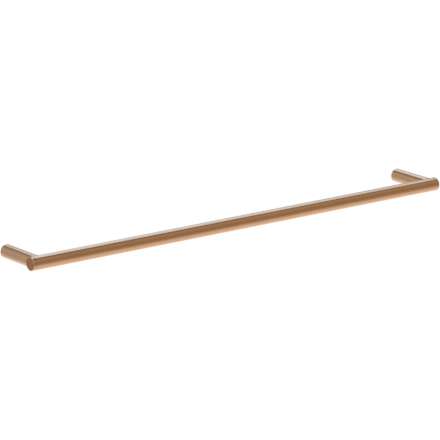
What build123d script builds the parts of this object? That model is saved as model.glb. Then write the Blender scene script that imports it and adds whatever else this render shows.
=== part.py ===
"""Wall-mounted towel bar: a round rail carried in front of a wall by two round posts.

Millimetres. +Z is up and +X runs along the rail. The wall is the plane Y = 0, with the rail
in front of it at -Y. The origin lies on the wall, midway between the two posts.
"""

import os

from build123d import *

# Rail and posts: round stock of one diameter, so that their sides run flush
bar_diameter = 16.0

# Rail: a thin-walled tube, closed by a plug at each end
rail_length = 600.0
rail_wall = 1.5
rail_to_wall = 63.0

# Posts: turned from solid bar, saddle-cut on the rail and bored from the wall end
post_inset = 10.0
post_wall = 2.0
post_web = 8.0
post_rim_chamfer = 0.7
saddle_lip_gap = 1.2

# End plugs: a visible head of the rail's diameter on a stem inside the tube
plug_head_thickness = 2.5
plug_rim_chamfer = 0.8
plug_past_screw = 8.0

# Tie screws: M5 socket heads that pull each post onto the rail, with spring washers
tie_thread_diameter = 5.0
tie_head_diameter = 8.5
tie_head_height = 5.0
tie_head_chamfer = 0.4
tie_key_size = 4.0
tie_key_depth = 2.5
tie_engagement = 9.3
tie_point_chamfer = 0.7
washer_diameter = 9.2
washer_thickness = 1.2
washer_split = 0.8

# Wall spigots: screwed to the wall, each one inside the bore of its post
spigot_length = 16.0
spigot_lead_chamfer = 0.6
wall_screw_hole = 4.5
wall_screw_head = 8.4
countersink_angle = 90.0
groove_depth = 2.4
groove_width = 4.4

# Grub screws: M4, from below, with a flat point on the floor of the spigot's groove
grub_thread_diameter = 4.0
grub_from_wall = 8.0
grub_recess = 0.4
grub_point_chamfer = 0.5
grub_key_size = 2.0
grub_key_depth = 1.8

# Clearances
saddle_clearance = 0.05
plug_clearance = 0.05
spigot_clearance = 0.05
thread_clearance = 0.05
tie_hole_clearance = 0.25
point_clearance = 0.05

# Derived radii and places
bar_radius = bar_diameter / 2
rail_bore_radius = bar_radius - rail_wall
post_bore_radius = bar_radius - post_wall
post_spacing = rail_length - 2 * post_inset
post_bore_depth = rail_to_wall - bar_radius - post_web
tie_radius = tie_thread_diameter / 2
tie_hole_radius = tie_radius + tie_hole_clearance
washer_bore_radius = tie_radius + tie_hole_clearance
spigot_radius = post_bore_radius - spigot_clearance
groove_floor_radius = spigot_radius - groove_depth
grub_radius = grub_thread_diameter / 2
grub_point = groove_floor_radius + point_clearance
grub_length = bar_radius - grub_recess - grub_point
plug_stem_radius = rail_bore_radius - plug_clearance
plug_stem_length = post_inset - plug_head_thickness + plug_past_screw

sides = {"left": -1, "right": 1}


def out_from_wall(side, distance):
    """Plane square to a post's axis, at a distance from the wall, facing away from the wall."""
    return Plane((side * post_spacing / 2, -distance, 0), x_dir=(1, 0, 0), z_dir=(0, -1, 0))


def back_to_wall(side, distance):
    """Plane square to a post's axis, at a distance from the wall, facing the wall."""
    return Plane((side * post_spacing / 2, -distance, 0), x_dir=(1, 0, 0), z_dir=(0, 1, 0))


def into_rail(side, distance):
    """Plane square to the rail's axis, at a distance from the rail's end, facing its middle."""
    start = (side * (rail_length / 2 - distance), -rail_to_wall, 0)
    return Plane(start, x_dir=(0, 1, 0), z_dir=(-side, 0, 0))


def up_from_below(side, radius):
    """Plane at a distance below a post's axis, under its grub screw, facing up."""
    return Plane((side * post_spacing / 2, -grub_from_wall, -radius), z_dir=(0, 0, 1))


os.makedirs("parts", exist_ok=True)


def write(piece, name):
    piece.part.label = name
    export_step(piece.part, f"parts/{name}.step")


# Rail tube, with a hole in its back for each tie screw
with BuildPart() as rail_tube:
    with BuildSketch(into_rail(-1, plug_head_thickness)):
        Circle(bar_radius)
        Circle(rail_bore_radius, mode=Mode.SUBTRACT)
    extrude(amount=rail_length - 2 * plug_head_thickness)
    for side in sides.values():
        with BuildSketch(back_to_wall(side, rail_to_wall)):
            Circle(tie_hole_radius)
        extrude(amount=bar_diameter, mode=Mode.SUBTRACT)
write(rail_tube, "rail_tube")

for name, side in sides.items():
    # End plug: bevelled head, stem in the tube, tapped across for the tie screw
    with BuildPart() as end_plug:
        with BuildSketch(into_rail(side, 0)):
            Circle(bar_radius)
        extrude(amount=plug_head_thickness)
        outer_rim = end_plug.edges().filter_by(GeomType.CIRCLE).sort_by(Axis.X)[0 if side < 0 else -1]
        chamfer(outer_rim, plug_rim_chamfer)
        with BuildSketch(into_rail(side, plug_head_thickness)):
            Circle(plug_stem_radius)
        extrude(amount=plug_stem_length)
        with BuildSketch(back_to_wall(side, rail_to_wall)):
            Circle(tie_radius + thread_clearance)
        extrude(amount=bar_radius, both=True, mode=Mode.SUBTRACT)
    write(end_plug, f"{name}_end_plug")

    # Post: bored from the wall, with a web for the tie screw and a saddle round the rail
    with BuildPart() as post:
        with BuildSketch(out_from_wall(side, 0)):
            Circle(bar_radius)
        extrude(amount=rail_to_wall - saddle_lip_gap)
        chamfer(post.edges().filter_by(GeomType.CIRCLE).sort_by(Axis.Y)[-1], post_rim_chamfer)
        with BuildSketch(into_rail(side, 0)):
            Circle(bar_radius + saddle_clearance)
        extrude(amount=2 * (post_inset + bar_radius), mode=Mode.SUBTRACT)
        with BuildSketch(out_from_wall(side, 0)):
            Circle(post_bore_radius)
        extrude(amount=post_bore_depth, mode=Mode.SUBTRACT)
        with BuildSketch(out_from_wall(side, post_bore_depth)):
            Circle(tie_hole_radius)
        extrude(amount=post_web + bar_radius, mode=Mode.SUBTRACT)
        with BuildSketch(up_from_below(side, bar_diameter)):
            Circle(grub_radius + thread_clearance)
        extrude(amount=bar_diameter, mode=Mode.SUBTRACT)
    write(post, f"{name}_post")

    # Wall spigot: countersunk for a wall screw, with a groove round it for the grub screw
    with BuildPart() as wall_spigot:
        with BuildSketch(out_from_wall(side, 0)):
            Circle(spigot_radius)
        extrude(amount=spigot_length)
        chamfer(wall_spigot.edges().filter_by(GeomType.CIRCLE).sort_by(Axis.Y)[0], spigot_lead_chamfer)
        with Locations(out_from_wall(side, spigot_length)):
            CounterSinkHole(
                wall_screw_hole / 2,
                wall_screw_head / 2,
                counter_sink_angle=countersink_angle,
            )
        with BuildSketch(out_from_wall(side, grub_from_wall - groove_width / 2)):
            Circle(post_bore_radius)
            Circle(groove_floor_radius, mode=Mode.SUBTRACT)
        extrude(amount=groove_width, mode=Mode.SUBTRACT)
    write(wall_spigot, f"{name}_wall_spigot")

# Tie screws: socket head in the bore of the post, shank through the web into the end plug
with BuildPart() as tie_screws:
    for side in sides.values():
        head_seat = post_bore_depth - washer_thickness
        with BuildSketch(back_to_wall(side, head_seat)):
            Circle(tie_head_diameter / 2)
        extrude(amount=tie_head_height)
        with BuildSketch(out_from_wall(side, head_seat)):
            Circle(tie_radius)
        extrude(amount=washer_thickness + post_web + rail_wall + tie_engagement)
        with BuildSketch(back_to_wall(side, head_seat - tie_head_height + tie_key_depth)):
            RegularPolygon(tie_key_size / 2, 6, major_radius=False)
        extrude(amount=tie_key_depth, mode=Mode.SUBTRACT)
    rims = tie_screws.edges().filter_by(GeomType.CIRCLE).group_by(Axis.Y)
    chamfer(rims[0], tie_point_chamfer)
    chamfer(rims[-1], tie_head_chamfer)
write(tie_screws, "tie_screws")

# Spring washers: split rings under the heads of the tie screws
with BuildPart() as spring_washers:
    for side in sides.values():
        with BuildSketch(back_to_wall(side, post_bore_depth)):
            Circle(washer_diameter / 2)
            Circle(washer_bore_radius, mode=Mode.SUBTRACT)
            with Locations((0, washer_diameter / 2)):
                Rectangle(washer_split, washer_diameter, mode=Mode.SUBTRACT)
        extrude(amount=washer_thickness)
write(spring_washers, "spring_washers")

# Grub screws: flat points in the grooves of the spigots, keys reached from below
with BuildPart() as grub_screws:
    for side in sides.values():
        with BuildSketch(up_from_below(side, grub_point + grub_length)):
            Circle(grub_radius)
        extrude(amount=grub_length)
        with BuildSketch(up_from_below(side, grub_point + grub_length)):
            RegularPolygon(grub_key_size / 2, 6, major_radius=False)
        extrude(amount=grub_key_depth, mode=Mode.SUBTRACT)
    points = grub_screws.edges().filter_by(GeomType.CIRCLE).group_by(Axis.Z)[-1]
    chamfer(points, grub_point_chamfer)
write(grub_screws, "grub_screws")
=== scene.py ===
"""Looks of the wall-mounted towel bar: a satin copper rail on two posts, and its steel fixings.

Metres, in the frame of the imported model: +X along the rail, +Y into the wall, +Z up. The wall is
the plane Y = 0.
"""

import math

import bmesh
import bpy
from mathutils import Matrix, Vector


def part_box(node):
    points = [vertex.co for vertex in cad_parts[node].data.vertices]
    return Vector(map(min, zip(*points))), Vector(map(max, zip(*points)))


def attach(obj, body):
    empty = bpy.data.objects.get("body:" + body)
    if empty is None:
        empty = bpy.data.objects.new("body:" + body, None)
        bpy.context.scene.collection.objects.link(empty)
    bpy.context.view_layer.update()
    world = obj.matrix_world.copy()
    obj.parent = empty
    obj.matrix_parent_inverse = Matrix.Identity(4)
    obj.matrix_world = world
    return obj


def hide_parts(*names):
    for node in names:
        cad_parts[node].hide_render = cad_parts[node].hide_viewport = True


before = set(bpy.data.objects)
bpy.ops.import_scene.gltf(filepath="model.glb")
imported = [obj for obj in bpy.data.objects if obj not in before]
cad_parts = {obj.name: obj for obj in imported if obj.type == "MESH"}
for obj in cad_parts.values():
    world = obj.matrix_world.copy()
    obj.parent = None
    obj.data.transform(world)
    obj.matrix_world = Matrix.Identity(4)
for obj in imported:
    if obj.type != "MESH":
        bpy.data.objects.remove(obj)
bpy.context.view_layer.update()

# Rail
# A drawn tube of 16 mm, ground on a belt while it turns and then coated in a copper colour by
# vapour deposition. It is cut square, and each end butts against the head of an end plug.
MM = 0.001
rail_low, rail_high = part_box("rail_tube")
rail_axis = (rail_low + rail_high) / 2
rail_length = rail_high.x - rail_low.x
plug_low, plug_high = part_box("left_end_plug")
bar_radius = (plug_high.z - plug_low.z) / 2
rail_wall = 1.5 * MM
rail_bore_radius = bar_radius - rail_wall
edge_break = 0.12 * MM
tie_hole_radius = 2.75 * MM
post_low, post_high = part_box("right_post")
post_x = (post_low.x + post_high.x) / 2
sides = {"left": -1, "right": 1}
lathe_steps = 128
hole_steps = 64
same_place = 0.001 * MM
sharp_angle = math.radians(30)


def turned(outline, closed=False):
    """A lathe-turned solid: an outline of (distance along, radius) pairs, spun about the X axis."""
    mesh = bmesh.new()
    corners = [mesh.verts.new((along, 0, radius)) for along, radius in outline]
    pairs = list(zip(corners, corners[1:]))
    if closed:
        pairs.append((corners[-1], corners[0]))
    edges = [mesh.edges.new(pair) for pair in pairs]
    bmesh.ops.spin(
        mesh,
        geom=corners + edges,
        cent=(0, 0, 0),
        axis=(1, 0, 0),
        angle=2 * math.pi,
        steps=lathe_steps,
        use_merge=True,
    )
    bmesh.ops.remove_doubles(mesh, verts=mesh.verts, dist=same_place)
    bmesh.ops.recalc_face_normals(mesh, faces=mesh.faces)
    return mesh


def softened(mesh, width):
    """Breaks the sharp edges of a mesh with a narrow rounded bevel."""
    sharp = [edge for edge in mesh.edges if edge.calc_face_angle(0) > sharp_angle]
    bmesh.ops.bevel(
        mesh,
        geom=sharp,
        offset=width,
        affect="EDGES",
        segments=2,
        profile=0.5,
        material=-1,
        clamp_overlap=True,
    )
    return mesh


def placed(mesh, position, turn=0, axis="Z"):
    """Turns a mesh about an axis, by degrees, and moves it to its place."""
    matrix = Matrix.Translation(position) @ Matrix.Rotation(math.radians(turn), 4, axis)
    bmesh.ops.transform(mesh, matrix=matrix, verts=mesh.verts)
    return mesh


def drilled(mesh, drills):
    """Cuts round holes. A drill is its hole's centre, direction, half length and radius."""
    bits = bmesh.new()
    for centre, direction, half_length, radius in drills:
        aim = Vector(direction).to_track_quat("Z", "Y").to_matrix().to_4x4()
        bmesh.ops.create_cone(
            bits,
            cap_ends=True,
            segments=hole_steps,
            radius1=radius,
            radius2=radius,
            depth=2 * half_length,
            matrix=Matrix.Translation(centre) @ aim,
        )
    blank, cutter = [bpy.data.objects.new(n, bpy.data.meshes.new(n)) for n in ("blank", "bits")]
    mesh.to_mesh(blank.data)
    bits.to_mesh(cutter.data)
    bits.free()
    for temporary in (blank, cutter):
        bpy.context.scene.collection.objects.link(temporary)
    boring = blank.modifiers.new("boring", "BOOLEAN")
    boring.operation = "DIFFERENCE"
    boring.solver = "EXACT"
    boring.object = cutter
    bored = bpy.data.meshes.new_from_object(
        blank.evaluated_get(bpy.context.evaluated_depsgraph_get())
    )
    mesh.clear()
    mesh.from_mesh(bored)
    bmesh.ops.remove_doubles(mesh, verts=mesh.verts, dist=same_place)
    # A mesh that is removed takes its temporary object with it
    for spare in (blank.data, cutter.data, bored):
        bpy.data.meshes.remove(spare)
    return mesh


def finished(name, mesh, slot, *materials):
    """Makes an object of a mesh, smooth but for its sharp edges, that rides on the part."""
    data = bpy.data.meshes.new(name)
    mesh.to_mesh(data)
    mesh.free()
    data.shade_smooth()
    data.set_sharp_from_angle(angle=sharp_angle)
    for material in materials:
        data.materials.append(material)
    piece = bpy.data.objects.new(name, data)
    bpy.context.scene.collection.objects.link(piece)
    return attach(piece, "root")


def linear(hex_colour):
    """The linear colour of an sRGB hex value."""
    channels = [int(hex_colour[i : i + 2], 16) / 255 for i in (1, 3, 5)]
    return [c / 12.92 if c <= 0.04045 else ((c + 0.055) / 1.055) ** 2.4 for c in channels] + [1]


def add_node(tree, kind, inputs=None, stops=None, **settings):
    """Adds a node to a tree, with its settings, a value or a link for each named input, and the
    colours of a ramp by their places on it."""
    node = tree.nodes.new(kind)
    for name, value in settings.items():
        setattr(node, name, value)
    for name, value in (inputs or {}).items():
        if isinstance(value, bpy.types.NodeSocket):
            tree.links.new(value, node.inputs[name])
        else:
            node.inputs[name].default_value = value
    if stops:
        node.color_ramp.interpolation = "EASE"
        while len(node.color_ramp.elements) < len(stops):
            node.color_ramp.elements.new(1.0)
        for stop, (position, hex_colour) in zip(node.color_ramp.elements, stops.items()):
            stop.position = position
            stop.color = linear(hex_colour)
    return node


# Turns that lay the X axis of a pattern along the axis of a piece
quarter_turn = math.radians(90)
lathe_turn = {"X": (0, 0, 0), "Y": (0, 0, -quarter_turn), "Z": (0, quarter_turn, 0)}

# The marks are broken into strokes round the piece. The tone takes some of its change from them and
# the rest from patches of 30 mm, where the coating or the polish is slightly uneven. Reflections
# stretch across the marks, a quarter of a turn from them.
strokes_per_radian = 1.6
tone_patch = 30 * MM
marks_in_tone = 0.4
tone_range = (0.3, 0.7)
mark_range = (0.25, 0.75)
across_marks = 0.25


def turned_metal(
    name, centre, axis, tones, mark_pitch, mark_depth, roughness, stretch, coat, twins=False
):
    """A metal ground or turned about an axis through a point. Its fine marks run round that axis,
    and are rings on the faces square to it. Twins are mirrored about the middle of the rail, and
    the point is then that of the right-hand one, with its distances taken as positive."""
    material = bpy.data.materials.new(name)
    material.use_nodes = True
    tree = material.node_tree
    tree.nodes.clear()
    place = add_node(tree, "ShaderNodeTexCoord").outputs["Object"]
    if twins:
        place = add_node(tree, "ShaderNodeVectorMath", {0: place}, operation="ABSOLUTE").outputs[0]
    local = add_node(
        tree,
        "ShaderNodeMapping",
        {"Vector": place, "Location": centre, "Rotation": lathe_turn[axis]},
        vector_type="TEXTURE",
    ).outputs[0]
    along = add_node(tree, "ShaderNodeSeparateXYZ", {0: local}).outputs["X"]
    outward = add_node(
        tree, "ShaderNodeVectorMath", {0: local, 1: (0, 1, 1)}, operation="MULTIPLY"
    ).outputs[0]
    radius = add_node(tree, "ShaderNodeVectorMath", {0: outward}, operation="LENGTH").outputs[1]
    around = add_node(tree, "ShaderNodeVectorMath", {0: outward}, operation="NORMALIZE").outputs[0]
    feed = add_node(tree, "ShaderNodeMath", {0: along, 1: radius}, operation="ADD").outputs[0]
    mark = add_node(
        tree, "ShaderNodeMath", {0: feed, 1: 1 / mark_pitch}, operation="MULTIPLY"
    ).outputs[0]
    across = add_node(tree, "ShaderNodeCombineXYZ", {"X": mark}).outputs[0]
    strokes = add_node(
        tree,
        "ShaderNodeVectorMath",
        {0: around, 1: [strokes_per_radian] * 3, 2: across},
        operation="MULTIPLY_ADD",
    ).outputs[0]
    marks = add_node(
        tree,
        "ShaderNodeTexNoise",
        {"Vector": strokes, "Scale": 1.0, "Detail": 2.0, "Roughness": 0.6},
    ).outputs["Fac"]
    drift = add_node(
        tree,
        "ShaderNodeTexNoise",
        {"Vector": local, "Scale": 1 / tone_patch, "Detail": 2.0, "Roughness": 0.5},
    ).outputs["Fac"]
    blend = add_node(
        tree, "ShaderNodeMix", {0: marks_in_tone, 2: drift, 3: marks}, data_type="FLOAT"
    ).outputs[0]
    tone = add_node(
        tree,
        "ShaderNodeMapRange",
        {"Value": blend, "From Min": tone_range[0], "From Max": tone_range[1]},
    ).outputs[0]
    colour = add_node(
        tree,
        "ShaderNodeMix",
        {0: tone, 6: linear(tones[0]), 7: linear(tones[1])},
        data_type="RGBA",
    ).outputs[2]
    gloss = add_node(
        tree,
        "ShaderNodeMapRange",
        {
            "Value": marks,
            "From Min": mark_range[0],
            "From Max": mark_range[1],
            "To Min": roughness[0],
            "To Max": roughness[1],
        },
    ).outputs[0]
    relief = add_node(
        tree, "ShaderNodeBump", {"Strength": 1.0, "Distance": mark_depth, "Height": marks}
    ).outputs[0]
    tangent = add_node(tree, "ShaderNodeTangent", direction_type="RADIAL", axis=axis).outputs[0]
    surface = add_node(
        tree,
        "ShaderNodeBsdfPrincipled",
        {
            "Base Color": colour,
            "Metallic": 1.0,
            "Roughness": gloss,
            "Anisotropic": stretch,
            "Anisotropic Rotation": across_marks,
            "Coat Weight": coat,
            "Coat Roughness": 0.15,
            "Tangent": tangent,
            "Normal": relief,
        },
    ).outputs[0]
    add_node(tree, "ShaderNodeOutputMaterial", {"Surface": surface})
    return material


# Satin copper coating on ground steel: a warm, slightly pale copper. The belt's marks are 0.05 mm
# apart, too fine to show, so they are drawn 0.3 mm apart. They stretch reflections along the bar,
# and a thin clear coat whitens the highlights.
copper_finish = {
    "tones": ("#CDA07A", "#D5A883"),
    "mark_pitch": 0.3 * MM,
    "mark_depth": 0.001 * MM,
    "roughness": (0.17, 0.23),
    "stretch": 0.7,
    "coat": 0.4,
}
rail_copper = turned_metal("satin_copper_rail", rail_axis, "X", **copper_finish)

# Rings of edges beside each hole keep its cut away from the long faces of the tube
beside_tie_hole = tie_hole_radius + 1 * MM
rail_rings = [0, rail_length]
for side in sides.values():
    tie_hole_place = side * post_x - rail_low.x
    rail_rings += [tie_hole_place - beside_tie_hole, tie_hole_place + beside_tie_hole]
rail_rings.sort()
rail_outline = [(along, bar_radius) for along in rail_rings]
rail_outline += [(along, rail_bore_radius) for along in reversed(rail_rings)]
rail_mesh = softened(turned(rail_outline, closed=True), edge_break)
placed(rail_mesh, (rail_low.x, rail_axis.y, rail_axis.z))
back_of_rail = rail_axis.y + bar_radius
through_wall = 4 * MM
tie_drills = [
    ((side * post_x, back_of_rail, 0), (0, 1, 0), through_wall, tie_hole_radius)
    for side in sides.values()
]
drilled(rail_mesh, tie_drills)
rail = finished("rail", rail_mesh, "satin_copper", rail_copper)
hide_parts("rail_tube")

# End plugs
# Turned copper-coated caps that close the tube. The head has the tube's diameter and a rounded
# rim, and its face is very slightly crowned. The stem fits in the bore and is tapped across.
head_thickness = rail_low.x - plug_low.x
plug_length = plug_high.x - plug_low.x
plug_clearance = 0.05 * MM
stem_radius = rail_bore_radius - plug_clearance
tapped_radius = 2.55 * MM
crown = 0.1 * MM
crown_rings = (0, 0.3, 0.6, 0.85)
rim_radius = 0.6 * MM
rim_steps = 6
rim_turns = [math.radians(90 * step / rim_steps) for step in range(rim_steps + 1)]
face_radius = bar_radius - rim_radius
plug_outline = [(crown * share**2, face_radius * share) for share in crown_rings]
plug_outline += [
    (crown + (rim_radius - crown) * (1 - math.cos(turn)), face_radius + rim_radius * math.sin(turn))
    for turn in rim_turns
]
plug_outline += [
    (head_thickness, bar_radius),
    (head_thickness, stem_radius),
    (plug_length, stem_radius),
    (plug_length, 0),
]

# The same coating on the turned face, whose rings are rougher than the belt's marks. Its colour is
# set darker than the sides, and its reflections spread from the middle outwards.
face_finish = {
    **copper_finish,
    "tones": ("#AC784E", "#B68257"),
    "roughness": (0.31, 0.36),
    "stretch": 0.85,
    "coat": 0.1,
}
face_copper = turned_metal("satin_copper_plug_faces", rail_axis, "X", **face_finish)
steepest_crown = math.cos(math.radians(5))
for name, side in sides.items():
    plug_mesh = softened(turned(plug_outline), edge_break)
    placed(plug_mesh, (-plug_low.x * side, rail_axis.y, rail_axis.z), 180 if side > 0 else 0)
    drilled(plug_mesh, [((side * post_x, rail_axis.y, 0), (0, 1, 0), bar_radius, tapped_radius)])
    for face in plug_mesh.faces:
        face.material_index = 1 if face.normal.x * side > steepest_crown else 0
    plug = finished(f"{name}_plug", plug_mesh, "satin_copper", rail_copper, face_copper)
    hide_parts(f"{name}_end_plug")

# Posts
# Turned from solid bar of the rail's diameter. The front end is cut to a saddle that fits round
# the rail. The wall end has a small chamfer and a deep bore, and a web is left for the tie screw.
wall_face = post_high.y
post_wall = 2 * MM
post_bore_radius = bar_radius - post_wall
post_bore_depth = 47 * MM
post_web = 8 * MM
post_chamfer = 0.7 * MM
saddle_clearance = 0.05 * MM
saddle_radius = bar_radius + saddle_clearance
saddle_start = post_bore_depth + post_web / 2
saddle_rings = (0, 0.2, 0.4, 0.6, 0.75, 0.88, 0.96, 1)
lip_reach = wall_face - post_low.y
front_width = bar_radius - tie_hole_radius
grub_from_wall = 8 * MM
grub_hole_radius = 2.05 * MM
beside_grub_hole = 3.2 * MM
post_outline = [(lip_reach, tie_hole_radius + share * front_width) for share in saddle_rings]
post_outline += [
    (grub_from_wall + beside_grub_hole, bar_radius),
    (grub_from_wall - beside_grub_hole, bar_radius),
    (post_chamfer, bar_radius),
    (0, bar_radius - post_chamfer),
    (0, post_bore_radius),
    (post_bore_depth, post_bore_radius),
    (post_bore_depth, tie_hole_radius),
]
for name, side in sides.items():
    post_place = (side * post_x, wall_face, 0)
    post_mesh = turned(post_outline, closed=True)
    # The flat front end is drawn back onto the rail's cylinder, up to the lips at its sides
    for vert in post_mesh.verts:
        if vert.co.x > saddle_start:
            depth = math.sqrt(max(saddle_radius**2 - vert.co.z**2, 0))
            vert.co.x = min(lip_reach, wall_face - rail_axis.y - depth)
    placed(post_mesh, post_place, -90)
    below_post = (side * post_x, -grub_from_wall, -bar_radius)
    drilled(post_mesh, [(below_post, (0, 0, 1), through_wall, grub_hole_radius)])
    post_copper = turned_metal(f"satin_copper_{name}_post", post_place, "Y", **copper_finish)
    post = finished(f"{name}_standoff", post_mesh, "satin_copper", post_copper)
    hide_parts(f"{name}_post")

# Tie screws and spring washers
# Socket head screws of M5 with split washers, in stainless steel. They stand in the bores of the
# posts and pull the saddles onto the rail. Nothing shows of them once the rail is on the wall.
tie_low, tie_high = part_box("tie_screws")
tie_length = tie_high.y - tie_low.y
tie_radius = 2.5 * MM
tie_head_radius = tie_high.x - post_x
tie_head_height = 5 * MM
tie_head_chamfer = 0.4 * MM
tie_point_chamfer = 0.7 * MM
tie_key_size = 4 * MM
tie_key_depth = 2.5 * MM
tie_pitch = 0.8 * MM
tie_rings = [
    (0, tie_head_radius - tie_head_chamfer),
    (tie_head_chamfer, tie_head_radius),
    (tie_head_height, tie_head_radius),
    (tie_head_height, tie_radius),
    (tie_length - tie_point_chamfer, tie_radius),
    (tie_length, tie_radius - tie_point_chamfer),
]

# Screws in general: the steps of their meshes, the standard depth of a thread in pitches, and the
# depth of the cone that the drill leaves in a socket, in key sizes
sides_of_hexagon = 6
cuts_per_side = 7
steps_round = sides_of_hexagon * (cuts_per_side + 1)
rings_per_turn = 8
thread_depth = 0.61
drill_cone = 0.15
nearly_all = 0.99


def raised(mesh, edges, height, scale=1):
    """Extrudes a ring of edges upwards, and makes it wider or narrower as it goes."""
    grown = bmesh.ops.extrude_edge_only(mesh, edges=edges)["geom"]
    for item in grown:
        if isinstance(item, bmesh.types.BMVert):
            item.co.xy *= scale
            item.co.z += height
    return [item for item in grown if isinstance(item, bmesh.types.BMEdge)]


def threaded(mesh, start, end, radius, pitch):
    """Cuts a thread into the plain stretch of a screw between two heights. Its groove winds round
    the Z axis and fades out over the first and the last turn."""
    stretch = end - start
    lengthwise = [
        edge
        for edge in mesh.edges
        if abs(edge.verts[0].co.z - edge.verts[1].co.z) > nearly_all * stretch
    ]
    cuts = round(stretch / pitch * rings_per_turn)
    bmesh.ops.subdivide_edges(mesh, edges=lengthwise, cuts=cuts, use_grid_fill=True)
    groove_depth = thread_depth * pitch
    for vert in mesh.verts:
        height = vert.co.z
        if start < height < end and vert.co.xy.length > nearly_all * radius:
            winding = height / pitch - math.atan2(vert.co.y, vert.co.x) / (2 * math.pi)
            groove = 1 - abs(2 * (winding % 1) - 1)
            fade = min(1, (height - start) / pitch, (end - height) / pitch)
            vert.co.xy *= 1 - groove * fade * groove_depth / radius


def pair_of_screws(rings, key_size, key_depth, pitch, position, turn):
    """Two like screws with hexagon sockets, one on each side. A screw stands on the mouth of its
    socket and is built up from there by rings of (height, radius), with a thread on its last
    straight stretch. It is then turned about X, by degrees, and moved to its (Y, Z) position."""
    pair = bmesh.new()
    corner_radius = key_size / 2 / math.cos(math.pi / sides_of_hexagon)
    for side in sides.values():
        screw = bmesh.new()
        bmesh.ops.create_circle(screw, segments=steps_round, radius=rings[0][1])
        mouth = screw.edges[:]
        bmesh.ops.create_circle(screw, segments=sides_of_hexagon, radius=corner_radius)
        hexagon = [edge for edge in screw.edges if edge not in mouth]
        bmesh.ops.subdivide_edges(screw, edges=hexagon, cuts=cuts_per_side)
        hexagon = [edge for edge in screw.edges if edge not in mouth]
        bmesh.ops.bridge_loops(screw, edges=mouth + hexagon)
        ring = mouth
        for (low, inner), (high, outer) in zip(rings, rings[1:]):
            ring = raised(screw, ring, high - low, outer / inner)
        bmesh.ops.edgeloop_fill(screw, edges=ring)
        socket_rim = raised(screw, hexagon, key_depth)
        socket_floor = bmesh.ops.edgeloop_fill(screw, edges=socket_rim)["faces"]
        bmesh.ops.recalc_face_normals(screw, faces=screw.faces)
        bmesh.ops.poke(screw, faces=socket_floor, offset=-drill_cone * key_size)
        (start, radius), (end, _) = rings[-3:-1]
        threaded(screw, start, end, radius, pitch)
        placed(screw, (side * post_x, *position), turn, "X")
        screw_data = bpy.data.meshes.new("screw")
        screw.to_mesh(screw_data)
        screw.free()
        pair.from_mesh(screw_data)
        bpy.data.meshes.remove(screw_data)
    return pair


# Turned stainless steel, uncoated: a light, neutral grey. The tool's rings are 0.1 mm apart and are
# drawn at 0.2 mm to show. They stretch reflections along a plain turned side. On the screws, whose
# sides are thread and socket, nothing is stretched.
steel_finish = {
    "tones": ("#BDBBB8", "#D2D0CD"),
    "mark_pitch": 0.2 * MM,
    "mark_depth": 0.003 * MM,
    "roughness": (0.22, 0.34),
    "stretch": 0.6,
    "coat": 0.0,
}
screw_finish = {**steel_finish, "stretch": 0.0}
tie_steel = turned_metal("turned_stainless_ties", (post_x, 0, 0), "Y", twins=True, **screw_finish)
tie_mesh = pair_of_screws(tie_rings, tie_key_size, tie_key_depth, tie_pitch, (tie_high.y, 0), 90)
ties = finished("ties", tie_mesh, "plain_stainless", tie_steel)
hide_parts("tie_screws")
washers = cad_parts["spring_washers"].data
washers.materials.clear()
washers.materials.append(tie_steel)

# Wall spigots
# Turned stainless steel bushes, each screwed flat to the wall by a countersunk screw. A post slides
# over each one, and the square groove round the spigot takes the point of its grub screw.
spigot_clearance = 0.05 * MM
spigot_radius = post_bore_radius - spigot_clearance
spigot_length = 16 * MM
wall_screw_radius = 2.25 * MM
countersink_radius = 4.2 * MM
countersink_depth = countersink_radius - wall_screw_radius
groove_radius = 3.55 * MM
groove_start = 5.8 * MM
groove_end = 10.2 * MM
lead_chamfer = 0.6 * MM
spigot_outline = [
    (0, wall_screw_radius),
    (0, spigot_radius),
    (groove_start, spigot_radius),
    (groove_start, groove_radius),
    (groove_end, groove_radius),
    (groove_end, spigot_radius),
    (spigot_length - lead_chamfer, spigot_radius),
    (spigot_length, spigot_radius - lead_chamfer),
    (spigot_length, countersink_radius),
    (spigot_length - countersink_depth, wall_screw_radius),
]
for name, side in sides.items():
    spigot_place = (side * post_x, wall_face, 0)
    spigot_mesh = softened(turned(spigot_outline, closed=True), edge_break)
    placed(spigot_mesh, spigot_place, -90)
    spigot_steel = turned_metal(
        f"turned_stainless_{name}_spigot", spigot_place, "Y", **steel_finish
    )
    spigot = finished(f"{name}_spigot", spigot_mesh, "plain_stainless", spigot_steel)
    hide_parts(f"{name}_wall_spigot")

# Grub screws
# Headless stainless screws of M4 with a hexagon socket, one under each post near the wall. They
# sit just below the surface and are turned from below to lock the post on its spigot.
grub_low, grub_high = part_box("grub_screws")
grub_radius = (grub_high.y - grub_low.y) / 2
grub_length = grub_high.z - grub_low.z
mouth_chamfer = 0.3 * MM
point_chamfer = 0.5 * MM
grub_key_size = 2 * MM
grub_key_depth = 1.8 * MM
grub_pitch = 0.7 * MM
grub_rings = [
    (0, grub_radius - mouth_chamfer),
    (mouth_chamfer, grub_radius),
    (grub_length - point_chamfer, grub_radius),
    (grub_length, grub_radius - point_chamfer),
]
grub_place = (post_x, grub_from_wall, 0)
grub_steel = turned_metal("turned_stainless_grubs", grub_place, "Z", twins=True, **screw_finish)
grub_seat = (-grub_from_wall, grub_low.z)
grub_mesh = pair_of_screws(grub_rings, grub_key_size, grub_key_depth, grub_pitch, grub_seat, 0)
grubs = finished("grubs", grub_mesh, "plain_stainless", grub_steel)
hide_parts("grub_screws")
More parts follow.
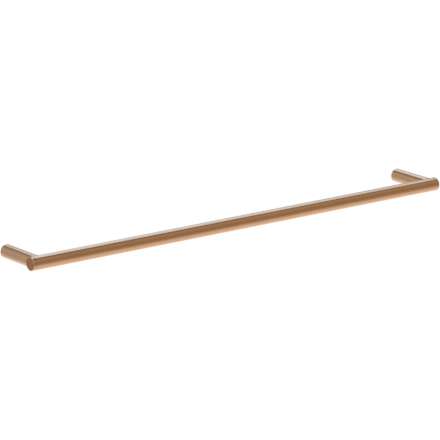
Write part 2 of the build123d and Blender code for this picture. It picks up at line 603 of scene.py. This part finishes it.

# Studio floor
# A pale floor, well below the rail, which hangs on a wall that isn't shown. The camera sees it
# white from above and not at all from below. In the metal it shows a painted pool of light: the
# floor glows for reflected rays, brightest under the rail, and the painted glow falls off with
# distance to a warm tone in front and a cool one behind.
floor_depth = 0.9
floor_half_width = 15
floor_front = -2.0
floor_back = 2.5
front_floor_tone = linear("#B6AA9B")
back_floor_tone = linear("#C8C9C4")
shaded_floor_tone = linear("#E6E6E4")
white = linear("#FFFFFF")
pool_centre = (0.6 * floor_depth, 0.4 * floor_depth, -floor_depth)
pool_reach = 5 * floor_depth
painted_pool_levels = {0.16: "#FFFFFF", 0.55: "#898989", 1.0: "#000000"}
floor_mesh = bmesh.new()
bmesh.ops.create_grid(floor_mesh, x_segments=1, y_segments=1, size=floor_half_width)
placed(floor_mesh, (0, 0, -floor_depth))
floor_data = bpy.data.meshes.new("floor")
floor_mesh.to_mesh(floor_data)
floor_mesh.free()
floor = bpy.data.objects.new("floor", floor_data)
bpy.context.scene.collection.objects.link(floor)

pale_floor = bpy.data.materials.new("pale_floor")
pale_floor.use_nodes = True
floor_tree = pale_floor.node_tree
floor_tree.nodes.clear()
floor_place = add_node(floor_tree, "ShaderNodeTexCoord").outputs["Object"]
# Painted light: the glow that the metal reflects is a painted pool, white under the rail
from_pool = add_node(
    floor_tree,
    "ShaderNodeVectorMath",
    {0: floor_place, 1: pool_centre},
    operation="DISTANCE",
).outputs["Value"]
reach = add_node(
    floor_tree, "ShaderNodeMapRange", {"Value": from_pool, "From Max": pool_reach}
).outputs[0]
pool = add_node(floor_tree, "ShaderNodeValToRGB", {0: reach}, stops=painted_pool_levels).outputs["Color"]
floor_y = add_node(floor_tree, "ShaderNodeSeparateXYZ", {0: floor_place}).outputs["Y"]
towards_wall = add_node(
    floor_tree,
    "ShaderNodeMapRange",
    {"Value": floor_y, "From Min": floor_front, "From Max": floor_back},
    interpolation_type="SMOOTHSTEP",
).outputs[0]
far_floor = add_node(
    floor_tree,
    "ShaderNodeMix",
    {0: towards_wall, 6: front_floor_tone, 7: back_floor_tone},
    data_type="RGBA",
).outputs[2]
# The painted pool of light, fading from white to the far floor tones
painted_pool_floor = add_node(
    floor_tree, "ShaderNodeMix", {0: pool, 6: far_floor, 7: white}, data_type="RGBA"
).outputs[2]
ray = add_node(floor_tree, "ShaderNodeLightPath").outputs
mirrored = add_node(
    floor_tree,
    "ShaderNodeMath",
    {0: ray["Is Glossy Ray"], 1: ray["Is Transmission Ray"]},
    operation="MAXIMUM",
).outputs[0]
seen = add_node(
    floor_tree, "ShaderNodeMath", {0: ray["Is Camera Ray"], 1: mirrored}, operation="MAXIMUM"
).outputs[0]
seen_colour = add_node(
    floor_tree,
    "ShaderNodeMix",
    {0: ray["Is Camera Ray"], 6: painted_pool_floor, 7: white},
    data_type="RGBA",
).outputs[2]
shaded = add_node(floor_tree, "ShaderNodeBsdfDiffuse", {"Color": shaded_floor_tone}).outputs[0]
bright = add_node(floor_tree, "ShaderNodeEmission", {"Color": seen_colour}).outputs[0]
floor_top = add_node(
    floor_tree, "ShaderNodeMixShader", {0: seen, 1: shaded, 2: bright}
).outputs[0]
underneath = add_node(floor_tree, "ShaderNodeNewGeometry").outputs["Backfacing"]
clear = add_node(floor_tree, "ShaderNodeBsdfTransparent").outputs[0]
one_sided = add_node(
    floor_tree, "ShaderNodeMixShader", {0: underneath, 1: floor_top, 2: clear}
).outputs[0]
add_node(floor_tree, "ShaderNodeOutputMaterial", {"Surface": one_sided})
floor_data.materials.append(pale_floor)

# Studio surround
# White behind the object for the camera. In the metal it is a dim warm room on the camera's side
# that turns to pale grey behind the rail. The tones go by height, from the horizon up.
front_tones = {0.2: "#AC9E8B", 0.72: "#C0B3A2", 0.78: "#B3A592", 0.83: "#857A6C"}
back_tones = {0.45: "#CED0CA", 0.66: "#959595"}
room_front = -0.5
room_back = 0.7
room_light = linear("#D0D0D0")
world = bpy.data.worlds.new("studio")
bpy.context.scene.world = world
world.use_nodes = True
world_tree = world.node_tree
world_tree.nodes.clear()
direction = add_node(world_tree, "ShaderNodeTexCoord").outputs["Generated"]
direction_axes = add_node(world_tree, "ShaderNodeSeparateXYZ", {0: direction}).outputs
upward = direction_axes["Z"]
front = add_node(world_tree, "ShaderNodeValToRGB", {0: upward}, stops=front_tones).outputs[0]
back = add_node(world_tree, "ShaderNodeValToRGB", {0: upward}, stops=back_tones).outputs[0]
towards_back = add_node(
    world_tree,
    "ShaderNodeMapRange",
    {"Value": direction_axes["Y"], "From Min": room_front, "From Max": room_back},
    interpolation_type="SMOOTHSTEP",
).outputs[0]
room = add_node(
    world_tree, "ShaderNodeMix", {0: towards_back, 6: front, 7: back}, data_type="RGBA"
).outputs[2]
ray = add_node(world_tree, "ShaderNodeLightPath").outputs
mirrored = add_node(
    world_tree,
    "ShaderNodeMath",
    {0: ray["Is Glossy Ray"], 1: ray["Is Transmission Ray"]},
    operation="MAXIMUM",
).outputs[0]
surround = add_node(
    world_tree, "ShaderNodeMix", {0: mirrored, 6: room_light, 7: room}, data_type="RGBA"
).outputs[2]
backdrop = add_node(
    world_tree,
    "ShaderNodeMix",
    {0: ray["Is Camera Ray"], 6: surround, 7: white},
    data_type="RGBA",
).outputs[2]
sky = add_node(world_tree, "ShaderNodeBackground", {"Color": backdrop}).outputs[0]
add_node(world_tree, "ShaderNodeOutputWorld", {"Surface": sky})

# Studio lamps
# A wide overhead panel behind the rail, whose near edge draws the long highlight, and two softboxes
# on the left, one high and one in front, for the rims of the ends.
panel_height = 2.2
panel_near = (0.22 * panel_height, rail_axis.y + 0.12 * panel_height)
panel_far = (1.25 * panel_height, rail_axis.y + 1.75 * panel_height)
panel_middle = [(near + far) / 2 for near, far in zip(panel_near, panel_far)]
panel_place = (*panel_middle, panel_height)
panel_size = [far - near for near, far in zip(panel_near, panel_far)]
panel_radiance = 1.12
panel_colour = "#C2E0FF"
high_place = (-1.5, 0.2, 1.76)
high_size = (1.6, 1.6)
front_place = (-1.9, -0.86, 0.86)
front_size = (1.2, 1.2)
softbox_radiance = 1.1
softbox_colour = "#FFFFFF"
# A rectangular lamp shines with a quarter of its power per square metre
power_per_radiance = 4


def softbox(name, position, target, size, radiance, hex_colour):
    """A rectangular lamp of an even brightness, in which 1 is white, facing a point."""
    lamp = bpy.data.lights.new(name, "AREA")
    lamp.shape = "RECTANGLE"
    lamp.size, lamp.size_y = size
    lamp.energy = power_per_radiance * radiance * size[0] * size[1]
    lamp.color = linear(hex_colour)[:3]
    holder = bpy.data.objects.new(name, lamp)
    holder.location = position
    holder.rotation_euler = (Vector(target) - Vector(position)).to_track_quat("-Z", "Y").to_euler()
    holder.visible_camera = False
    bpy.context.scene.collection.objects.link(holder)


below_panel = (*panel_middle, 0)
left_end = (plug_low.x, rail_axis.y, rail_axis.z)
softbox("overhead_panel", panel_place, below_panel, panel_size, panel_radiance, panel_colour)
softbox("high_softbox", high_place, left_end, high_size, softbox_radiance, softbox_colour)
softbox("front_softbox", front_place, left_end, front_size, softbox_radiance, softbox_colour)

# Camera
# The photograph's place, found from the outlines of the rail and the posts. It looks along the
# rail from the left, slightly down, through a long lens.
image_width = 440
focal_length = 3409.1
camera_place = (-2.3640, -3.1190, 1.0364)
camera_heading = math.radians(-37.350)
camera_tilt = math.radians(90 - 14.980)
camera_data = bpy.data.cameras.new("camera")
camera_data.sensor_width = 36
camera_data.lens = camera_data.sensor_width * focal_length / image_width
camera = bpy.data.objects.new("camera", camera_data)
camera.location = camera_place
camera.rotation_euler = (camera_tilt, 0, camera_heading)
bpy.context.scene.collection.objects.link(camera)
bpy.context.scene.camera = camera
bpy.context.scene.view_settings.view_transform = "Standard"
